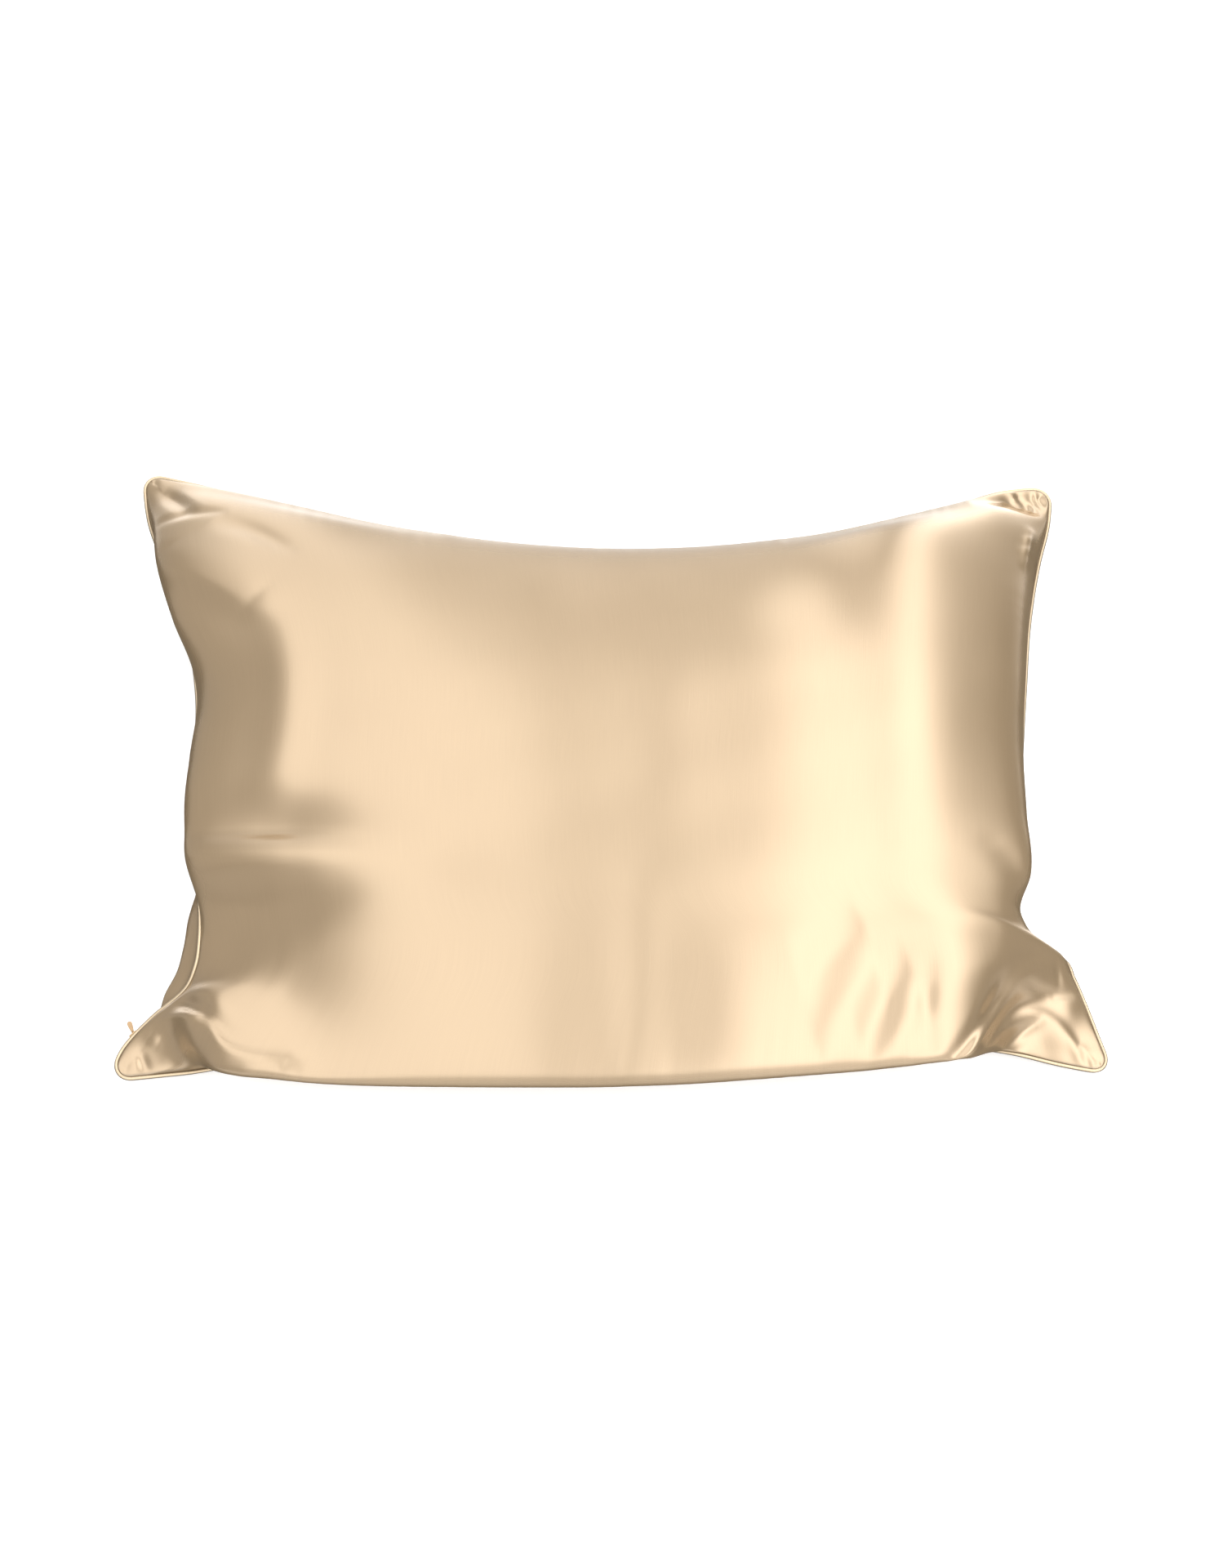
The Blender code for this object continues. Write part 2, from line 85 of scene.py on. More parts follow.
leftSide = (
    station(0.000, 0.000, 0.012, 0.000, 0.000),
    station(0.050, 0.010, 0.013, 0.000, 0.000),
    station(0.090, 0.030, 0.020, 0.000, 0.010),
    station(0.130, 0.056, 0.031, 0.000, 0.033),
    station(0.160, 0.0635, 0.038, 0.000, 0.032),
    station(0.200, 0.0665, 0.044, 0.002, 0.029),
    station(0.250, 0.066, 0.049, 0.010, 0.024),
    station(0.300, 0.062, 0.051, 0.016, 0.010),
    station(0.370, 0.058, 0.054, 0.015, 0.000),
    station(0.470, 0.057, 0.056, 0.010, 0.000),
    station(0.580, 0.057, 0.058, 0.005, 0.000),
    station(0.700, 0.046, 0.055, 0.021, 0.000),
    station(0.820, 0.025, 0.050, 0.018, 0.000),
    station(0.910, 0.008, 0.043, 0.004, 0.000),
    station(1.000, 0.000, 0.040, 0.000, 0.000),
)
rightSide = (
    station(0.000, 0.000, 0.010, 0.000, 0.000),
    station(0.050, 0.007, 0.011, 0.000, 0.000),
    station(0.110, 0.016, 0.016, 0.002, 0.000),
    station(0.150, 0.023, 0.020, 0.003, 0.000),
    station(0.175, 0.030, 0.027, 0.004, 0.000),
    station(0.195, 0.050, 0.033, 0.004, 0.000),
    station(0.220, 0.064, 0.040, 0.009, 0.000),
    station(0.280, 0.064, 0.052, 0.019, 0.000),
    station(0.380, 0.058, 0.057, 0.013, 0.000),
    station(0.500, 0.051, 0.058, 0.007, 0.000),
    station(0.620, 0.042, 0.056, 0.005, 0.000),
    station(0.740, 0.032, 0.050, 0.004, 0.000),
    station(0.860, 0.017, 0.042, 0.000, 0.000),
    station(0.930, 0.006, 0.039, 0.000, 0.000),
    station(1.000, 0.000, 0.038, 0.000, 0.000),
)

pillow = {
    "crown": 0.115,              # how far the front stands off the seam in the middle
    "crownSquareness": (2.9, 2.4),  # more is flatter in the middle and steeper at the rim
    "backDepth": 0.080,          # how far the back would hang, if the floor didn't stop it
    "backSquareness": 2.1,
    "floorEase": 0.006,          # how gently the back meets the floor
    "rimThickness": 0.0024,      # both panels together, in the seam
    "cornerRadius": 0.016,
    "sideFade": 5.0,             # how soon the short sides stop lifting the sheet, going inward
    "seamLength": (0.740, 0.485),  # of the filled case, across and up
    "bulgeReach": 0.020,         # the bulges are largest this far in from the seam
    "swellReach": 0.006,         # how soon the swells and creases start, in from the seam
    "creaseReach": 0.008,
    "hollowReach": 0.025,        # the crown height at which a hollow has most of its depth
    "fill": 0.75,                # 0 is slack, 1 is tight
    "flatSize": (0.76, 0.51),    # each panel as it was cut
}

cloth = {
    "seed": 7,
    "waves": (0.170, 0.050),     # longest and shortest wave of the slight unevenness
    "waveCount": 7,
    "waveSlope": 0.0012,         # height of each wave, as a share of its length
    "puckerSpacing": 0.017,
    "puckerHeight": 0.0007,
    "puckerReach": 0.012,        # how soon the puckers die out, in from the seam
    "spacingDrift": ((0.23, 1.7), (0.41, 0.8)),  # rate and strength of the spacing's two drifts
    "depthDrift": (0.137, 1.0),  # rate and start of the change in depth along the seam
    "depthRange": (0.55, 0.45),  # mean depth, and how far it goes to each side
}

net = {
    "cellsAcross": 270,
    "cellsUp": 180,
    "edgeCrowding": 0.78,        # 0 spaces the cells evenly, 1 crowds them most toward the seam
}

# Broad hollows (negative height) and swells of the filling, by plan position.
# left, right, down and up are how far each one reaches, before its turn in degrees, and a larger
# edge makes a flatter middle with a more abrupt start and end from down to up.
lump = namedtuple("lump", "x y left right down up edge turn height")
lumps = (
    lump(-0.300, -0.140, 0.060, 0.040, 0.060, 0.050, 2, 0, -0.013),
    lump(-0.256, -0.070, 0.140, 0.064, 0.013, 0.022, 2, -7, -0.014),
    lump(-0.255, -0.146, 0.140, 0.074, 0.044, 0.036, 4, -6, -0.023),
    lump(-0.309, -0.205, 0.014, 0.130, 0.040, 0.026, 2, 28, 0.013),
    lump(-0.304, -0.186, 0.011, 0.030, 0.014, 0.018, 2, 0, 0.006),
    lump(-0.290, -0.219, 0.026, 0.060, 0.018, 0.011, 2, 0, 0.008),
    lump(0.235, 0.020, 0.040, 0.040, 0.140, 0.140, 2, 0, 0.005),
    lump(0.035, -0.010, 0.050, 0.040, 0.080, 0.080, 2, 0, 0.0012),
    lump(-0.060, -0.190, 0.060, 0.060, 0.026, 0.026, 2, 0, 0.002),
    lump(0.090, -0.180, 0.035, 0.035, 0.030, 0.030, 2, 0, 0.002),
    lump(0.284, -0.160, 0.060, 0.034, 0.024, 0.052, 2, 0, 0.019),
    lump(0.268, -0.208, 0.050, 0.022, 0.034, 0.028, 2, 0, 0.019),
    lump(0.308, -0.208, 0.024, 0.050, 0.030, 0.022, 2, -15, -0.024),
    lump(0.343, -0.188, 0.012, 0.010, 0.012, 0.012, 2, 0, 0.003),
    lump(0.235, 0.165, 0.070, 0.052, 0.060, 0.050, 2, 0, 0.0085),
    lump(0.160, 0.090, 0.040, 0.035, 0.030, 0.030, 2, 0, -0.0015),
    lump(0.040, 0.090, 0.050, 0.060, 0.050, 0.060, 2, 30, -0.0016),
    lump(-0.120, 0.040, 0.090, 0.060, 0.060, 0.050, 2, -20, 0.0014),
    lump(-0.230, -0.190, 0.020, 0.030, 0.020, 0.034, 2, 15, -0.0022),
)

# Folds of the front along a line in plan, with their height at its start, middle and end.
# bend is how far the line bows to its left, and left and right are how far each flank reaches.
fold = namedtuple("fold", "x0 y0 x1 y1 bend left right start middle end")
folds = (
    fold(-0.292, 0.176, -0.243, -0.040, 0.024, 0.020, 0.020, 0.0005, 0.0035, 0.003),
    fold(-0.150, -0.106, -0.310, -0.092, 0.000, 0.007, 0.009, 0.000, 0.003, 0.002),
    fold(0.022, -0.130, 0.020, -0.205, 0.000, 0.020, 0.020, 0.0005, 0.001, 0.001),
    fold(0.185, -0.140, 0.139, -0.166, 0.000, 0.009, 0.015, 0.000, -0.0018, 0.000),
    fold(0.195, -0.160, 0.149, -0.186, 0.000, 0.014, 0.009, 0.000, 0.0018, 0.000),
    fold(0.2195, -0.157, 0.181, -0.1835, 0.000, 0.007, 0.010, 0.000, -0.0016, 0.000),
    fold(0.2285, -0.171, 0.190, -0.1975, 0.000, 0.010, 0.007, 0.000, 0.0016, 0.000),
    fold(0.2325, -0.163, 0.231, -0.177, 0.000, 0.007, 0.009, -0.0005, -0.0014, -0.0005),
    fold(-0.328, -0.184, -0.302, -0.194, 0.000, 0.008, 0.006, -0.003, -0.008, -0.005),
    fold(-0.330, -0.198, -0.225, -0.197, -0.004, 0.004, 0.014, 0.003, 0.006, 0.001),
    fold(-0.353, -0.220, -0.345, -0.236, 0.000, 0.004, 0.004, -0.001, -0.003, -0.002),
    fold(-0.345, -0.208, -0.338, -0.214, 0.000, 0.005, 0.005, 0.001, 0.002, 0.001),
    fold(0.272, -0.198, 0.330, -0.180, 0.003, 0.005, 0.005, -0.002, -0.005, -0.001),
    fold(0.284, -0.192, 0.352, -0.214, 0.013, 0.005, 0.012, 0.002, 0.005, 0.002),
    fold(0.250, -0.206, 0.298, -0.182, 0.002, 0.004, 0.004, 0.002, 0.004, 0.001),
    fold(0.244, -0.198, 0.292, -0.176, 0.002, 0.004, 0.004, -0.001, -0.003, -0.001),
    fold(0.312, -0.173, 0.350, -0.174, -0.003, 0.004, 0.004, -0.001, -0.0035, -0.002),
    fold(0.288, -0.207, 0.322, -0.194, 0.001, 0.004, 0.004, -0.001, -0.003, -0.001),
    fold(0.333, -0.158, 0.335, -0.170, 0.000, 0.003, 0.003, -0.0005, -0.0012, -0.0006),
    fold(0.290, -0.179, 0.325, -0.160, 0.002, 0.006, 0.006, 0.001, 0.0025, 0.001),
    fold(0.280, -0.185, 0.312, -0.160, 0.002, 0.007, 0.007, -0.004, -0.003, -0.001),
    fold(0.272, -0.088, 0.300, -0.132, 0.003, 0.009, 0.009, -0.001, -0.003, -0.001),
    fold(-0.354, 0.234, -0.330, 0.207, 0.001, 0.006, 0.007, -0.002, -0.005, -0.003),
    fold(-0.345, 0.200, -0.295, 0.196, 0.002, 0.005, 0.005, -0.001, -0.002, 0.000),
    fold(-0.334, 0.158, -0.266, 0.102, 0.002, 0.026, 0.011, 0.003, 0.0085, 0.003),
    fold(-0.305, 0.190, -0.245, 0.150, 0.002, 0.008, 0.008, 0.000, -0.0030, -0.001),
    fold(-0.335, 0.240, -0.150, 0.184, 0.000, 0.015, 0.015, -0.003, -0.009, -0.002),
    fold(0.300, 0.222, 0.130, 0.170, 0.000, 0.015, 0.015, -0.001, -0.008, -0.001),
    fold(0.352, 0.234, 0.285, 0.224, 0.000, 0.010, 0.010, -0.004, -0.010, -0.001),
    fold(0.318, 0.232, 0.350, 0.222, -0.003, 0.005, 0.005, -0.002, -0.003, -0.002),
    fold(0.336, 0.236, 0.342, 0.222, 0.001, 0.003, 0.003, 0.001, 0.002, 0.001),
    fold(0.326, 0.236, 0.330, 0.226, 0.001, 0.003, 0.003, 0.001, 0.002, 0.001),
    fold(0.320, 0.240, 0.326, 0.229, 0.001, 0.0025, 0.0025, 0.001, 0.002, 0.001),
    fold(0.327, 0.241, 0.332, 0.231, -0.001, 0.0025, 0.0025, -0.001, -0.002, -0.001),
    fold(0.343, 0.240, 0.347, 0.228, -0.001, 0.0022, 0.0022, 0.001, 0.002, 0.001),
    fold(0.322, 0.235, 0.345, 0.236, 0.002, 0.0022, 0.0022, -0.0005, -0.0015, -0.0005),
    fold(0.334, 0.194, 0.324, 0.160, 0.001, 0.004, 0.005, 0.002, 0.004, 0.002),
    fold(0.336, 0.187, 0.326, 0.184, 0.000, 0.0028, 0.0028, 0.001, 0.0014, 0.0005),
    fold(0.334, 0.177, 0.322, 0.172, 0.001, 0.0025, 0.0032, 0.001, 0.0016, 0.0006),
    fold(0.332, 0.164, 0.324, 0.161, -0.001, 0.0024, 0.0024, 0.001, 0.0014, 0.0005),
    fold(0.334, 0.150, 0.331, 0.130, 0.001, 0.003, 0.004, 0.001, 0.002, 0.001),
)


def blendRows(rows, column, at):
    # a smooth curve through one column of the stations
    stops = np.array([row.at for row in rows])
    values = np.array([getattr(row, column) for row in rows])
    slopes = np.gradient(values, stops)
    left = np.clip(np.searchsorted(stops, at, side="right") - 1, 0, len(stops) - 2)
    span = stops[left + 1] - stops[left]
    s = (at - stops[left]) / span
    start = values[left] * (1 + 2 * s) + slopes[left] * span * s
    end = values[left + 1] * (3 - 2 * s) - slopes[left + 1] * span * (1 - s)
    return start * (1 - s) ** 2 + end * s**2


def sideFrame(first, second, turn):
    # turn is 1 where the case lies to the left on the way from first to second, else -1
    along = np.array([second.x - first.x, second.y - first.y])
    inward = turn * np.array([-along[1], along[0]]) / np.linalg.norm(along)
    return along, inward


def sidePoints(first, second, turn, rows, at):
    along, inward = sideFrame(first, second, turn)
    inset = blendRows(rows, "inset", at)
    x = first.x + along[0] * at + inward[0] * inset
    y = first.y + along[1] * at + inward[1] * inset
    return np.stack([x, y, blendRows(rows, "height", at)], axis=-1)


def roundCorners(across, up):
    # draws the net's positions in from the sharp corners
    radius = pillow["cornerRadius"]
    lengthX, lengthY = pillow["seamLength"]
    nearX = np.where(across < 0.5, across, 1 - across) * lengthX / radius
    nearY = np.where(up < 0.5, up, 1 - up) * lengthY / radius
    deepX = np.clip(1 - nearX, 0, 1)
    deepY = np.clip(1 - nearY, 0, 1)
    shiftX = (deepX - deepX * np.sqrt(1 - deepY * deepY / 2)) * radius / lengthX
    shiftY = (deepY - deepY * np.sqrt(1 - deepX * deepX / 2)) * radius / lengthY
    across = across + np.where(across < 0.5, shiftX, -shiftX)
    up = up + np.where(up < 0.5, shiftY, -shiftY)
    return across, up


def seamSheet(across, up):
    # the sheet spread between the four sides: a Coons patch in plan, whose height follows the short
    # sides only near them
    across, up = roundCorners(across, up)
    lower = sidePoints(lowerLeft, lowerRight, 1, lowerSide, across)
    upper = sidePoints(upperLeft, upperRight, -1, upperSide, across)
    left = sidePoints(lowerLeft, upperLeft, -1, leftSide, up)
    right = sidePoints(lowerRight, upperRight, 1, rightSide, up)
    spots = [np.array([c.x, c.y, c.height]) for c in corners]
    fade = pillow["sideFade"]
    rightShare = np.stack([across, across, across**fade], axis=-1)
    leftShare = np.stack([1 - across, 1 - across, (1 - across) ** fade], axis=-1)
    rise = up[..., None]
    leftGap = left - (1 - rise) * spots[0] - rise * spots[2]
    rightGap = right - (1 - rise) * spots[1] - rise * spots[3]
    return (1 - rise) * lower + rise * upper + leftShare * leftGap + rightShare * rightGap


def profile(position, squareness):
    # the crown's section: 1 in the middle and 0 at both ends
    return np.sqrt(np.clip(1 - np.abs(2 * position - 1) ** squareness, 0, 1))


def earWeight(points):
    # how much the corners flatten the crown
    weight = np.zeros(points.shape[:-1])
    for c in corners:
        distance = np.hypot(points[..., 0] - c.x, points[..., 1] - c.y)
        weight = np.maximum(weight, c.earFlatness * np.exp(-((distance / c.earReach) ** 2)))
    return weight


def bulgeShift(across, up, column):
    # moves the cloth out over the seam where a side bulges
    lengthX, lengthY = pillow["seamLength"]
    sides = (
        (lowerLeft, lowerRight, 1, lowerSide, across, up * lengthY),
        (upperLeft, upperRight, -1, upperSide, across, (1 - up) * lengthY),
        (lowerLeft, upperLeft, -1, leftSide, up, across * lengthX),
        (lowerRight, upperRight, 1, rightSide, up, (1 - across) * lengthX),
    )
    shift = np.zeros(across.shape + (2,))
    for first, second, turn, rows, at, distance in sides:
        _, inward = sideFrame(first, second, turn)
        near = distance / pillow["bulgeReach"]
        swell = blendRows(rows, column, at) * near * np.exp(1 - near)
        shift -= swell[..., None] * inward
    return shift


def swellHeight(points):
    x, y = points[..., 0], points[..., 1]
    swell, hollow = np.zeros(x.shape), np.zeros(x.shape)
    for one in lumps:
        turn = math.radians(one.turn)
        u = (x - one.x) * math.cos(turn) + (y - one.y) * math.sin(turn)
        v = (y - one.y) * math.cos(turn) - (x - one.x) * math.sin(turn)
        reachX = np.where(u < 0, one.left, one.right)
        reachY = np.where(v < 0, one.down, one.up)
        height = one.height * np.exp(-((u / reachX) ** 2) - np.abs(v / reachY) ** one.edge)
        swell += np.maximum(height, 0)
        hollow += np.minimum(height, 0)
    return swell, hollow


def foldHeight(points):
    x, y = points[..., 0], points[..., 1]
    depth = np.zeros(x.shape)
    for f in folds:
        chord = np.array([f.x1 - f.x0, f.y1 - f.y0])
        length = np.linalg.norm(chord)
        chord /= length
        along = ((x - f.x0) * chord[0] + (y - f.y0) * chord[1]) / length
        s = np.clip(along, 0, 1)
        offset = (y - f.y0) * chord[0] - (x - f.x0) * chord[1] - 4 * f.bend * s * (1 - s)
        height = f.start * (1 - s) * (1 - 2 * s) + f.middle * 4 * s * (1 - s)
        height += f.end * s * (2 * s - 1)
        width = np.where(offset > 0, f.left, f.right)
        pastEnd = (along - s) * length / ((f.left + f.right) / 2)
        depth += height * np.exp(-((offset / width) ** 2) - pastEnd**2)
    return depth


def softFloor(height):
    # flattens what would go through the floor, with a short smooth start
    ease = pillow["floorEase"]
    eased = (height + ease) ** 2 / (4 * ease)
    return np.where(height > ease, height, np.where(height < -ease, 0.0, eased))


def relief(points):
    # slight unevenness all over, from a few long waves of the cloth in seeded directions
    random = np.random.default_rng(cloth["seed"])
    height = np.zeros(points.shape[:-1])
    for wave in np.geomspace(*cloth["waves"], cloth["waveCount"]):
        heading, phase = random.uniform(0, 2 * math.pi, 2)
        ahead = points[..., 0] * math.cos(heading) + points[..., 1] * math.sin(heading)
        height += cloth["waveSlope"] * wave * np.sin(2 * math.pi * ahead / wave + phase)
    return height


def puckers(across, up, edge):
    # small gathers along the stitching, uneven in spacing and depth
    lengthX, lengthY = pillow["flatSize"]
    fromMiddleX, fromMiddleY = np.abs(across - 0.5) * lengthX, np.abs(up - 0.5) * lengthY
    alongX = fromMiddleY > fromMiddleX - (lengthX - lengthY) / 2
    run = np.where(alongX, across * lengthX, up * lengthY)
    turn = 2 * math.pi * run / cloth["puckerSpacing"]
    (slowRate, slowDrift), (quickRate, quickDrift) = cloth["spacingDrift"]
    drift = slowDrift * np.sin(turn * slowRate), quickDrift * np.sin(turn * quickRate)
    wave = np.sin(turn + drift[0] + drift[1])
    rate, start = cloth["depthDrift"]
    mean, swing = cloth["depthRange"]
    uneven = mean + swing * np.sin(turn * rate + start)
    return cloth["puckerHeight"] * uneven * wave * np.exp(-edge / cloth["puckerReach"])


def edgeDistance(across, up):
    lengthX, lengthY = pillow["seamLength"]
    return np.minimum(np.minimum(across, 1 - across) * lengthX, np.minimum(up, 1 - up) * lengthY)


def easeIn(distance, reach):
    # 0 at the start, nearly two thirds at the reach, and 1 well past it
    return 1 - np.exp(-distance / reach)


def frontPanel(across, up):
    points = seamSheet(across, up)
    ear = earWeight(points)
    crease = foldHeight(points)
    squareX, squareY = pillow["crownSquareness"]
    crown = pillow["crown"] * profile(across, squareX) * profile(up, squareY) * (1 - ear)
    swell, hollow = swellHeight(points)
    uneven = relief(points)
    points[..., :2] += bulgeShift(across, up, "frontBulge")
    edge = edgeDistance(across, up)
    detail = (swell + uneven + puckers(across, up, edge)) * easeIn(edge, pillow["swellReach"])
    points[..., 2] += pillow["rimThickness"] / 2 + crown + detail
    points[..., 2] += hollow * easeIn(crown, np.maximum(pillow["hollowReach"], -hollow))
    points[..., 2] += crease * easeIn(edge, pillow["creaseReach"])
    return points


def backPanel(across, up):
    points = seamSheet(across, up)
    ear = earWeight(points)
    square = pillow["backSquareness"]
    drop = pillow["backDepth"] * profile(across, square) * profile(up, square)
    points[..., :2] += bulgeShift(across, up, "backBulge")
    edge = edgeDistance(across, up)
    detail = puckers(across, up, edge) * easeIn(edge, pillow["swellReach"])
    points[..., 2] -= pillow["rimThickness"] / 2 + drop * (1 - ear) + detail
    points[..., 2] = softFloor(points[..., 2])
    return points


def crowded(position):
    # the net is finer toward the seam, where the cloth turns most
    crowd = net["edgeCrowding"]
    return (1 - crowd) * position + crowd * (1 - np.cos(math.pi * position)) / 2


def netPositions():
    # each point of the net, from 0 to 1 across and up
    columns = crowded(np.linspace(0, 1, net["cellsAcross"] + 1))
    rows = crowded(np.linspace(0, 1, net["cellsUp"] + 1))
    return np.meshgrid(columns, rows)


def isVector(value):
    if isinstance(value, wire):
        return value.socket.type in ("VECTOR", "RGBA")
    return isinstance(value, tuple)


class wire:
    # wraps a socket, so that shader maths reads as an expression
    def __init__(self, tree, socket=None):
        self.tree = tree
        self.socket = socket

    def node(self, kind, settings=None, values=None, output=0):
        # settings are set first; stops and ease are a colour ramp's
        made = self.tree.nodes.new(kind)
        for name, value in (settings or {}).items():
            if name == "stops":
                ramp = made.color_ramp
                while len(ramp.elements) < len(value):
                    ramp.elements.new(0.5)
                for element, (position, colour) in zip(ramp.elements, value):
                    element.position = position
                    element.color = colour
            elif name == "ease":
                made.color_ramp.interpolation = value
            else:
                setattr(made, name, value)
        for name, value in (values or {}).items():
            if isinstance(value, wire):
                self.tree.links.new(value.socket, made.inputs[name])
            else:
                made.inputs[name].default_value = value
        return wire(self.tree, made.outputs[output])

    def join(self, operation, first, second=0.0):
        # a colour or a vector goes through Vector Math, and numbers through Math
        if not (isVector(first) or isVector(second)):
            return self.node("ShaderNodeMath", {"operation": operation}, {0: first, 1: second})
        first, second = [(v,) * 3 if isinstance(v, (int, float)) else v for v in (first, second)]
        return self.node("ShaderNodeVectorMath", {"operation": operation}, {0: first, 1: second})

    def __add__(self, other):
        return self.join("ADD", self, other)

    def __radd__(self, other):
        return self.join("ADD", other, self)

    def __sub__(self, other):
        return self.join("SUBTRACT", self, other)

    def __rsub__(self, other):
        return self.join("SUBTRACT", other, self)

    def __mul__(self, other):
        return self.join("MULTIPLY", self, other)

    def __rmul__(self, other):
        return self.join("MULTIPLY", other, self)

    def __truediv__(self, other):
        return self.join("DIVIDE", self, other)

    def __rtruediv__(self, other):
        return self.join("DIVIDE", other, self)

    def mix(self, first, second):
        # this wire's value chooses between two colours
        values = {0: self, 6: (*first, 1), 7: (*second, 1)}
        return self.node("ShaderNodeMix", {"data_type": "RGBA"}, values, 2)

    def step(self, low, high, first=0.0, last=1.0):
        # a smooth step from first to last while this wire's value goes from low to high
        values = {0: self, 1: low, 2: high, 3: first, 4: last}
        return self.node("ShaderNodeMapRange", {"interpolation_type": "SMOOTHSTEP"}, values)

    def noise(self, scale, detail=2.0):
        values = {"Vector": self * scale, "Scale": 1.0, "Detail": detail}
        return self.node("ShaderNodeTexNoise", {}, values)

    def parts(self):
        split = self.node("ShaderNodeSeparateXYZ", {}, {0: self})
        return [wire(self.tree, socket) for socket in split.socket.node.outputs]

    def bump(self):
        # a normal from this wire's height in metres
        values = {"Height": self, "Distance": 1.0, "Strength": 1.0}
        return self.node("ShaderNodeBump", {}, values)


def newMaterial(name, look):
    # look holds the fixed values, by the shader's own socket names
    material = bpy.data.materials.new(name)
    material.use_nodes = True
    shader = material.node_tree.nodes["Principled BSDF"]
    for socket, value in look.items():
        shader.inputs[socket].default_value = value
    return material, shader, wire(material.node_tree)


def feed(shader, inputs):
    # links what changes over the surface
    for socket, value in inputs.items():
        value.tree.links.new(value.socket, shader.inputs[socket])


satin = {
    "look": {
        "Metallic": 0.50,
        "Specular IOR Level": 1.0,
        "Specular Tint": (0.98, 0.88, 0.75, 1),
        "Coat Weight": 0.5,
        "Coat IOR": 1.90,
        "Coat Roughness": 0.19,
    },
    "tones": ((0.378, 0.268, 0.157), (0.404, 0.292, 0.171)),
    "toneSize": 0.16,            # of the patches of slightly different tone
    "warp": (0.0009, 0.045),     # width and length of the faint streaks of the weave
    "warpDetail": 3.0,
    "warpTone": 0.10,
    "warpHeight": 0.00003,
    "weave": 0.0012,
    "weaveDetail": 1.0,
    "weaveHeight": 0.000012,
    "roughness": (0.17, 0.22),
    "roughPatches": 3,           # patches of roughness along one patch of tone
    "seamPaintedShade": 0.52,           # painted shade: how dark the cloth's colour gets beside the stitching, as in the crease's shade
    "seamWidth": 0.0026,
    "flank": (0.25, 0.75),       # upright cloth: its normal rises by less than this
    "flankWidth": 0.045,         # it gets painted shade, a darker colour, and is duller, up to this far from the seam
    "flankPaintedShade": 0.68,
    "flankRough": 0.35,
    "earSpan": (0.07, 0.12),     # the ears get only part of that, out to this far from the corners
    "earFlank": 0.45,
}


def makeSatin():
    material, shader, start = newMaterial("satin", satin["look"])
    place = start.node("ShaderNodeUVMap", {"uv_map": "cloth"})
    u, v, _ = place.parts()
    tone = place.noise(1 / satin["toneSize"]).mix(*satin["tones"])
    width, length = satin["warp"]
    warp = place.noise((1 / width, 1 / length, 1.0), satin["warpDetail"])
    fine = 1 / satin["weave"]
    weave = place.noise((fine, fine, 1.0), satin["weaveDetail"])
    lengthX, lengthY = pillow["flatSize"]
    edgeX = start.join("MINIMUM", u, lengthX - u)
    edgeY = start.join("MINIMUM", v, lengthY - v)
    edge = start.join("MINIMUM", edgeX, edgeY)
    # painted shade: the base colour is darkened beside the seam, where its crease lies in shade
    shade = edge.step(0.0, satin["seamWidth"], satin["seamPaintedShade"], 1.0)
    # painted shade: cloth that stands upright near the seam gets a darker colour, as where it turns
    # from the light; the same mask also makes it duller
    _, _, facing = start.node("ShaderNodeNewGeometry", output=1).parts()
    fromCorner = start.join("MAXIMUM", edgeX, edgeY).step(*satin["earSpan"], satin["earFlank"], 1.0)
    upright = facing.step(*satin["flank"], 1.0, 0.0)
    flank = upright * edge.step(0.0, satin["flankWidth"], 1.0, 0.0) * fromCorner
    streak = (warp - 0.5) * satin["warpTone"] + 1.0
    low, high = satin["roughness"]
    broad = place.noise(satin["roughPatches"] / satin["toneSize"])
    height = warp * satin["warpHeight"] + weave * satin["weaveHeight"]
    feed(shader, {
        # painted shade: the colour is darkened beside the seam and on the upright flanks
        "Base Color": tone * (streak * shade * (1 - flank * (1 - satin["flankPaintedShade"]))),
        "Roughness": broad * (high - low) + low + flank * satin["flankRough"],
        "Coat Weight": (1 - flank) * satin["look"]["Coat Weight"],
        "Normal": height.bump(),
    })
    return material


piping = {
    "radius": 0.00150,
    "sides": 14,
    "tuck": 0.0003,              # how far the piping sinks into the seam
    "look": {"Metallic": 0.55, "Roughness": 0.28, "Specular Tint": (0.98, 0.86, 0.70, 1)},
    "tones": ((0.50, 0.39, 0.26), (0.60, 0.49, 0.34)),
    "toneScale": (400.0, 3.0, 1.0),    # this and the next are per metre along and per turn around
    "unevenScale": (60.0, 1.0, 1.0),
    "twist": 0.0024,             # spacing of the slanting wrinkles of the bias strip
    "slant": 2.0,                # how many spacings a wrinkle runs along in one turn around
    "waver": 3.0,                # how many spacings the wrinkles stray
    "wrinkle": 0.00006,
    "sidePaintedShade": 0.26,           # painted shade: how dark the piping's colour gets down its sides
    "top": (0.35, 0.95),         # painted shade, from the darkened sides up to the light top
}


def makePipingSatin():
    material, shader, start = newMaterial("pipingSatin", piping["look"])
    place = start.node("ShaderNodeUVMap", {"uv_map": "cloth"})
    along, around, _ = place.parts()
    slant = along / piping["twist"] + around * piping["slant"]
    uneven = place.noise(piping["unevenScale"])
    wrinkle = start.join("SINE", (slant + uneven * piping["waver"]) * (2 * math.pi))
    # painted shade: the piping's colour is darkened down its sides and kept light on top, as light
    # falls on a cord from above
    top = start.join("SINE", around * (2 * math.pi))
    shade = top.step(*piping["top"], piping["sidePaintedShade"], 1.0)
    feed(shader, {
        "Base Color": place.noise(piping["toneScale"]).mix(*piping["tones"]) * shade,
        "Normal": (wrinkle * (uneven * piping["wrinkle"])).bump(),
    })
    return material


def show(name, mesh, material):
    piece = bpy.data.objects.new(name, mesh)
    bpy.context.scene.collection.objects.link(piece)
    mesh.materials.append(material)
    return piece


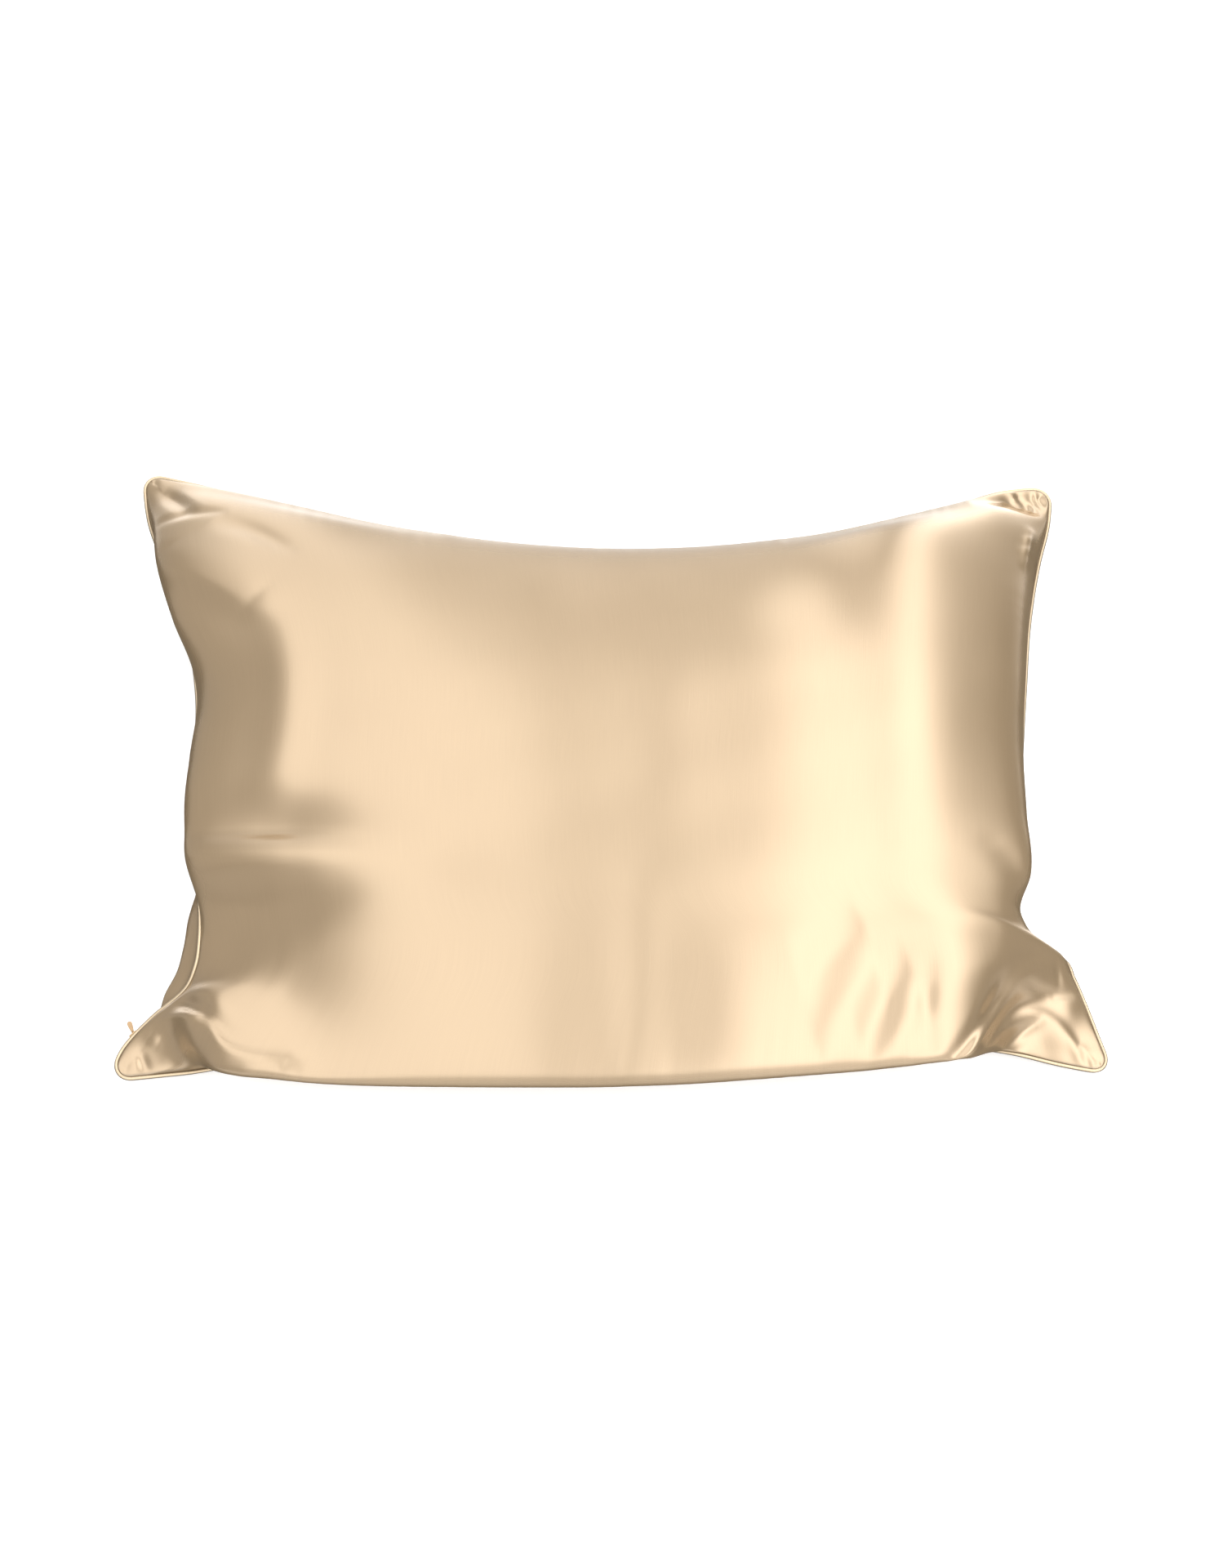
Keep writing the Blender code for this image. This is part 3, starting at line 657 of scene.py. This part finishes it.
def meshFrom(name, points, faces, places=None):
    # places gives each point its position on the flat cloth, in metres
    mesh = bpy.data.meshes.new(name)
    mesh.from_pydata(points.tolist(), [], faces)
    mesh.polygons.foreach_set("use_smooth", [True] * len(faces))
    if places is not None:
        numbers = np.empty(len(mesh.loops), dtype=np.int32)
        mesh.loops.foreach_get("vertex_index", numbers)
        mesh.uv_layers.new(name="cloth").data.foreach_set("uv", places[numbers].ravel())
    return mesh


def gridCells(rows, columns):
    # the four corner numbers of each cell, in a grid whose points are numbered row by row
    start = np.arange(rows)[:, None] * (columns + 1) + np.arange(columns)
    return np.stack([start, start + 1, start + columns + 2, start + columns + 1], axis=-1)


def gridRim(first):
    # the outline of the net, counter-clockwise from its lower left corner
    number = first + np.arange((net["cellsUp"] + 1) * (net["cellsAcross"] + 1))
    number = number.reshape(net["cellsUp"] + 1, net["cellsAcross"] + 1)
    return np.concatenate([number[0, :-1], number[:-1, -1], number[-1, :0:-1], number[:0:-1, 0]])


def buildCase(material):
    across, up = netPositions()
    front, back = frontPanel(across, up), backPanel(across, up)
    count = across.size
    frontRim, backRim = gridRim(0), gridRim(count)
    nextFront, nextBack = np.roll(frontRim, -1), np.roll(backRim, -1)
    rim = np.stack([backRim, nextBack, nextFront, frontRim], axis=-1)
    cells = gridCells(net["cellsUp"], net["cellsAcross"]).reshape(-1, 4)
    faces = np.concatenate([cells, (cells + count)[:, ::-1], rim])
    place = np.stack([across, up], axis=-1).reshape(-1, 2) * np.array(pillow["flatSize"])
    points = np.concatenate([front.reshape(-1, 3), back.reshape(-1, 3)])
    mesh = meshFrom("satinCase", points, faces.tolist(), np.concatenate([place, place]))
    case = show("satinCase", mesh, material)
    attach(case, "root")
    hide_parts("case")


def seamLoop():
    # middle of the rim all the way round, counter-clockwise from the lower left corner
    across, up = netPositions()
    sheet = seamSheet(across, up).reshape(-1, 3)
    return sheet[gridRim(0)]


def unit(vectors):
    return vectors / np.linalg.norm(vectors, axis=-1, keepdims=True)


def outwardFrom(ahead):
    # level and square to the way along the seam, pointing away from the case
    level = np.stack([ahead[..., 1], -ahead[..., 0], np.zeros(ahead.shape[:-1])], axis=-1)
    return unit(level)


def buildPiping(material):
    loop = seamLoop()
    ahead = unit(np.roll(loop, -1, axis=0) - np.roll(loop, 1, axis=0))
    outward = outwardFrom(ahead)
    upward = np.cross(outward, ahead)
    path = loop + outward * (piping["radius"] - piping["tuck"])
    path, outward, upward = [np.concatenate([a, a[:1]]) for a in (path, outward, upward)]
    run = np.concatenate([[0], np.cumsum(np.linalg.norm(np.diff(path, axis=0), axis=-1))])
    turns = np.linspace(0, 2 * math.pi, piping["sides"] + 1)
    spokes = [outward * math.cos(turn) + upward * math.sin(turn) for turn in turns]
    points = np.stack([path + piping["radius"] * spoke for spoke in spokes], axis=1)
    places = np.stack(np.broadcast_arrays(run[:, None], turns[None] / (2 * math.pi)), axis=-1)
    rows, columns = len(path) - 1, piping["sides"]
    # the faces join the last ring and side to the first, but on the flat cloth they stay apart
    number = np.arange(rows * columns).reshape(rows, columns)
    ringAfter, sideAfter = np.roll(number, -1, axis=0), np.roll(number, -1, axis=1)
    bothAfter = np.roll(ringAfter, -1, axis=1)
    faces = np.stack([number, ringAfter, bothAfter, sideAfter], axis=-1).reshape(-1, 4)
    mesh = meshFrom("satinPiping", points[:-1, :-1].reshape(-1, 3), faces.tolist())
    flat = gridCells(rows, columns)[..., (0, 3, 2, 1)].ravel()
    mesh.uv_layers.new(name="cloth").data.foreach_set("uv", places.reshape(-1, 2)[flat].ravel())
    tube = show("satinPiping", mesh, material)
    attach(tube, "root")
    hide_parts("piping")


zipper = {
    "station": 0.067,            # place of the slider along the left side
    "reach": 0.010,              # the seam's direction is taken over this share of it to each side
    "offset": 0.0024,            # how far the slider stands out from the seam
    "drop": 0.0035,              # and hangs below it
    "length": 0.0080,
    "width": 0.0042,
    "height": 0.0026,
    "plate": 0.0008,             # thickness of the upper and lower plates
    "shoulder": 0.2,             # where they start to narrow, as a share of half the length
    "waist": 0.45,               # width of the core and of the narrow end, as a share
    "coreLength": 0.7,
    "coreStart": 0.8,            # how deep in the plates the core starts, as a share of them
    "bridge": (0.0022, 0.00035),  # reach and thickness of the loop that holds the pull
    "bridgeRise": 0.55,          # height of that loop, as a share of its reach
    "bevel": 0.00025,
    "metal": {"Base Color": (0.62, 0.42, 0.22, 1), "Metallic": 0.9},
    "roughness": (0.24, 0.42),
    "brushScale": (400.0, 4000.0, 4000.0),
    "brushDetail": 3.0,
    "scratch": 0.00001,
}


def makeZipMetal():
    material, shader, start = newMaterial("zipMetal", zipper["metal"])
    place = start.node("ShaderNodeTexCoord", output="Object")
    brush = place.noise(zipper["brushScale"], zipper["brushDetail"])
    low, high = zipper["roughness"]
    feed(shader, {
        "Roughness": brush * (high - low) + low,
        "Normal": (brush * zipper["scratch"]).bump(),
    })
    return material


pull = {
    "length": 0.0092,
    "width": 0.0038,
    "neck": 0.0016,
    "thickness": 0.0010,
    "swing": -22,                # degrees from straight out of the seam
    "widest": 0.80,              # how far along it is widest
    "tip": 0.02,                 # the least that is left of the rounding at the tip
    "outline": 18,               # points along each side
    "bevel": 0.0003,
    "rim": 0.00045,              # width of the raised edge round the sunk face
    "sunk": 0.00022,
    "link": (0.0011, 0.00028),   # radius and thickness of the ring between bridge and pull
    "linkBack": 0.3,             # how far back the ring's middle is, as a share of its radius
    "linkLean": (0, 0.35, 0.94),  # the ring stands up this way
    "tones": ((0.34, 0.21, 0.10), (0.43, 0.28, 0.14)),
    "toneScale": 500.0,
    "look": {"Metallic": 0.15, "Roughness": 0.38, "Coat Weight": 0.3},
    "grain": 0.00002,
    "grainScale": 4000.0,
    "grainDetail": 1.0,
}


def makeTab():
    material, shader, start = newMaterial("pullTab", pull["look"])
    place = start.node("ShaderNodeTexCoord", output="Object")
    tone = place.noise(pull["toneScale"]).mix(*pull["tones"])
    grain = place.noise(pull["grainScale"], pull["grainDetail"])
    feed(shader, {"Base Color": tone, "Normal": (grain * pull["grain"]).bump()})
    return material


def addPlate(mesh, outline, bottom, thickness, bevel):
    # a flat plate from a closed outline, with its edges rounded
    base = [mesh.verts.new((x, y, bottom)) for x, y in outline]
    face = mesh.faces.new(base)
    lifted = bmesh.ops.extrude_face_region(mesh, geom=[face])["geom"]
    top = [item for item in lifted if isinstance(item, bmesh.types.BMVert)]
    bmesh.ops.translate(mesh, vec=(0, 0, thickness), verts=top)
    caps = [item for item in lifted if isinstance(item, bmesh.types.BMFace)] + [face]
    rims = {edge for cap in caps for edge in cap.edges}
    bmesh.ops.bevel(mesh, geom=list(rims), offset=bevel, segments=3, profile=0.5, affect="EDGES")


def addRing(mesh, centre, axisX, axisY, radius, thickness, arc=2 * math.pi, steps=20, sides=8):
    # a round bar bent along an arc from axisX toward axisY; a full turn makes a closed ring
    closed = arc == 2 * math.pi
    axisZ = np.cross(axisX, axisY)
    rows = []
    for turn in np.linspace(0, arc, steps, endpoint=not closed):
        spoke = axisX * math.cos(turn) + axisY * math.sin(turn)
        row = []
        for side in np.linspace(0, 2 * math.pi, sides, endpoint=False):
            out = spoke * (radius + thickness * math.cos(side))
            row.append(mesh.verts.new(centre + out + axisZ * thickness * math.sin(side)))
        rows.append(row)
    for i in range(len(rows) if closed else len(rows) - 1):
        first, second = rows[i], rows[(i + 1) % len(rows)]
        for j in range(len(first)):
            k = (j + 1) % len(first)
            mesh.faces.new((first[j], second[j], second[k], first[k]))
    if not closed:
        mesh.faces.new(rows[0])
        mesh.faces.new(rows[-1][::-1])


def sliderFrame():
    # the slider's middle, its way down the seam, and the way out from the case
    stations = zipper["station"] + np.array([1, 0, -1]) * zipper["reach"]
    upper, middle, lower = seamSheet(np.zeros(3), stations)
    ahead = unit(lower - upper)
    outward = outwardFrom(ahead)
    centre = middle + outward * zipper["offset"] - np.array([0, 0, zipper["drop"]])
    return centre, ahead, outward


def finishTrim(name, mesh, matrix, material, node):
    bmesh.ops.recalc_face_normals(mesh, faces=mesh.faces)
    for face in mesh.faces:
        face.smooth = True
    data = bpy.data.meshes.new(name)
    mesh.to_mesh(data)
    mesh.free()
    piece = show(name, data, material)
    piece.matrix_world = matrix
    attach(piece, "root")
    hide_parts(node)


def stand(centre, axisX, axisY):
    # where a trim's own centre and directions go
    axisZ = np.cross(axisX, axisY)
    rows = np.eye(4)
    rows[:3, :4] = np.stack([axisX, axisY, axisZ, centre], axis=-1)
    return Matrix(rows.tolist())


def buildSlider(material):
    centre, ahead, outward = sliderFrame()
    half, side = zipper["length"] / 2, zipper["width"] / 2
    narrow, shoulder = side * zipper["waist"], -half * zipper["shoulder"]
    shield = ((-half, -narrow), (shoulder, -side), (half, -side),
              (half, side), (shoulder, side), (-half, narrow))
    core = [(x * zipper["coreLength"], y * zipper["waist"]) for x, y in shield]
    plate, height, bevel = zipper["plate"], zipper["height"], zipper["bevel"]
    inPlate = plate * zipper["coreStart"]
    mesh = bmesh.new()
    addPlate(mesh, shield, -height / 2, plate, bevel)
    addPlate(mesh, core, -height / 2 + inPlate, height - 2 * inPlate, bevel / 2)
    addPlate(mesh, shield, height / 2 - plate, plate, bevel)
    reach, thickness = zipper["bridge"]
    top = np.array([0, 0, height / 2 - thickness])
    rise = np.array([0, 0, zipper["bridgeRise"]])
    addRing(mesh, top, np.array([1.0, 0, 0]), rise, reach, thickness, math.pi)
    matrix = stand(centre, ahead, -outward)
    finishTrim("zipSlider", mesh, matrix, material, "zip_slider")


def pullOutline():
    widest, neck = pull["widest"], pull["neck"]
    along = np.linspace(0, 1, pull["outline"])
    wide = neck + (pull["width"] - neck) * np.sin(math.pi / 2 * along / widest)
    rounding = np.sqrt(np.clip(1 - ((along - widest) / (1 - widest)) ** 2, pull["tip"], 1))
    half = wide / 2 * np.where(along > widest, rounding, 1)
    upper = np.stack([along * pull["length"], half], axis=-1)
    return np.concatenate([upper[::-1] * np.array([1, -1]), upper]).tolist()


def buildPull(material):
    centre, _, outward = sliderFrame()
    swing = math.radians(pull["swing"])
    axisX = outward * math.cos(swing) + np.cross([0, 0, 1], outward) * math.sin(swing)
    axisY = np.cross([0, 0, 1], axisX)
    thickness = pull["thickness"]
    mesh = bmesh.new()
    addPlate(mesh, pullOutline(), -thickness / 2, thickness, pull["bevel"])
    bmesh.ops.recalc_face_normals(mesh, faces=mesh.faces)
    cap = max(mesh.faces, key=lambda face: (round(face.normal.z, 3), face.calc_area()))
    bmesh.ops.inset_region(mesh, faces=[cap], thickness=pull["rim"], depth=-pull["sunk"])
    radius, bar = pull["link"]
    spot = np.array([-radius * pull["linkBack"], 0, 0])
    addRing(mesh, spot, np.array([1.0, 0, 0]), np.array(pull["linkLean"]), radius, bar)
    start = centre + outward * (zipper["width"] / 2 + piping["tuck"])
    finishTrim("zipPull", mesh, stand(start, axisX, axisY), material, "zip_pull")


studio = {
    "target": (-0.0053, -0.0218, 0.070),   # the camera looks here
    "cameraDistance": 2.1,
    "cameraTilt": 22,                  # degrees off the vertical, toward the lower side
    "lens": 63.5,                      # this and the sensor's width in millimetres
    "sensor": 36,
    "floorSize": 12,
    "floorGrey": 0.86,
    "floorRoughness": 0.9,
    "floorGlow": 0.25,
    "floorDrop": 0.0002,               # keeps the floor just clear of the case's underside
    "backdrop": (5.8, 4.0),            # radius and height of the wall round the floor
    "backdropSides": 64,
    "backdropGrey": 0.94,
}


def buildCamera(scene):
    tilt = math.radians(studio["cameraTilt"])
    back = Vector((0, -math.sin(tilt), math.cos(tilt)))
    data = bpy.data.cameras.new("camera")
    data.lens = studio["lens"]
    data.sensor_width = studio["sensor"]
    camera = bpy.data.objects.new("camera", data)
    scene.collection.objects.link(camera)
    camera.location = Vector(studio["target"]) + back * studio["cameraDistance"]
    camera.rotation_euler = (-back).to_track_quat("-Z", "Y").to_euler()
    scene.camera = camera


def buildFloor():
    half, grey = studio["floorSize"] / 2, studio["floorGrey"]
    points = np.array([(-half, -half, 0), (half, -half, 0), (half, half, 0), (-half, half, 0)])
    look = {
        "Base Color": (grey, grey, grey, 1),
        "Roughness": studio["floorRoughness"],
        "Emission Color": (1, 1, 1, 1),
        "Emission Strength": studio["floorGlow"],
    }
    material = newMaterial("paleFloor", look)[0]
    floor = show("floor", meshFrom("floor", points, [(0, 1, 2, 3)]), material)
    floor.location.z = -studio["floorDrop"]
    floor.visible_glossy = False       # the satin mirrors only the sky


def buildBackdrop():
    # a plain pale wall that is only there for low views; it neither lights nor shades the case
    radius, height = studio["backdrop"]
    sides = studio["backdropSides"]
    turns = np.linspace(0, 2 * math.pi, sides, endpoint=False)
    ring = np.stack([radius * np.cos(turns), radius * np.sin(turns), np.zeros(sides)], axis=-1)
    points = np.concatenate([ring, ring + np.array([0, 0, height])])
    faces = [(i, sides + i, sides + (i + 1) % sides, (i + 1) % sides) for i in range(sides)]
    look = {
        "Base Color": (0, 0, 0, 1),
        "Specular IOR Level": 0,
        "Emission Strength": studio["backdropGrey"],
        "Emission Color": (1, 1, 1, 1),
    }
    wall = show("backdrop", meshFrom("backdrop", points, faces), newMaterial("paleWall", look)[0])
    for kind in ("glossy", "diffuse", "shadow", "transmission"):
        setattr(wall, "visible_" + kind, False)


# The light is a soft sky of bands that run along the case's short side. Its numbers are parts of a
# direction of length 1: sideways to the right, ahead away from the camera, and upward.
light = {
    "base": 0.03,                      # what every direction gets
    "strength": 3.55,
    "band": (                          # brightness by direction, from the left (0) to the right (1)
        (0.095, 0.10),
        (0.125, 0.18),
        (0.170, 0.30),
        (0.240, 0.57),
        (0.300, 0.63),
        (0.460, 0.67),
        (0.515, 0.30),
        (0.580, 0.70),
        (0.660, 0.96),
        (0.730, 0.98),
        (0.790, 0.80),
        (0.830, 0.61),
        (0.870, 0.43),
        (0.910, 0.24),
        (0.960, 0.03),
    ),
    "bandScale": 0.953,                # less than 1 spreads the bands outward
    "aheadShare": 0.3,                 # 0 keeps the bands straight, 1 bends them as on a dome
    "far": (0.20, 0.90),               # the middle bands get dimmer from here to there, ahead
    "farShare": 0.59,                  # what is left of them there
    "farMiddle": 0.02,                 # how far left of the centre their middle is
    "farWidth": 0.22,                  # half their width
    "farAside": 0.45,                  # how much of that dimming the side bands get
    "low": (-0.25, 0.05),              # the sky fades out between these heights, going down
    "lowAhead": 0.8,                   # and further down toward the camera and away from it
    "lowFar": 2.0,                     # and furthest straight away from it
    "near": (-0.95, -0.55),            # the sky is dimmer low on the camera's side, up to these
    "nearLow": (0.08, 0.42),
    "nearShare": 0.45,                 # what is left of it there
}


def buildLight(scene):
    world = bpy.data.worlds.new("studioLight")
    scene.world = world
    world.use_nodes = True
    start = wire(world.node_tree)
    sideways, ahead, upward = start.node("ShaderNodeTexCoord").parts()
    square = sideways * sideways + upward * upward + ahead * ahead * light["aheadShare"]
    turned = sideways / start.join("SQRT", square) * light["bandScale"]
    stops = [(position, (value, value, value, 1)) for position, value in light["band"]]
    settings = {"stops": stops, "ease": "LINEAR"}
    band = start.node("ShaderNodeValToRGB", settings, {0: turned * 0.5 + 0.5})
    far = ahead.step(*light["far"])
    offMiddle = start.join("ABSOLUTE", turned + light["farMiddle"])
    middle = offMiddle.step(0.0, light["farWidth"], 1.0, light["farAside"])
    farFade = 1 - far * middle * (1 - light["farShare"])
    straight = start.join("MAXIMUM", ahead - start.join("ABSOLUTE", sideways))
    level = start.join("ABSOLUTE", ahead) * light["lowAhead"] + straight * light["lowFar"]
    lowFade = (upward + level).step(*light["low"])
    near = ahead.step(*light["near"], 1.0, 0.0) * upward.step(*light["nearLow"], 1.0, 0.0)
    nearFade = 1 - near * (1 - light["nearShare"])
    strength = band * (farFade * lowFade * nearFade) * light["strength"] + light["base"]
    background = world.node_tree.nodes["Background"]
    background.inputs["Color"].default_value = (1, 1, 1, 1)
    world.node_tree.links.new(strength.socket, background.inputs["Strength"])


print("studio")
bpy.context.scene.view_settings.view_transform = "Standard"
buildCamera(bpy.context.scene)
buildFloor()
buildBackdrop()
buildLight(bpy.context.scene)
print("case")
buildCase(makeSatin())
print("piping")
buildPiping(makePipingSatin())
print("zip")
buildSlider(makeZipMetal())
buildPull(makeTab())
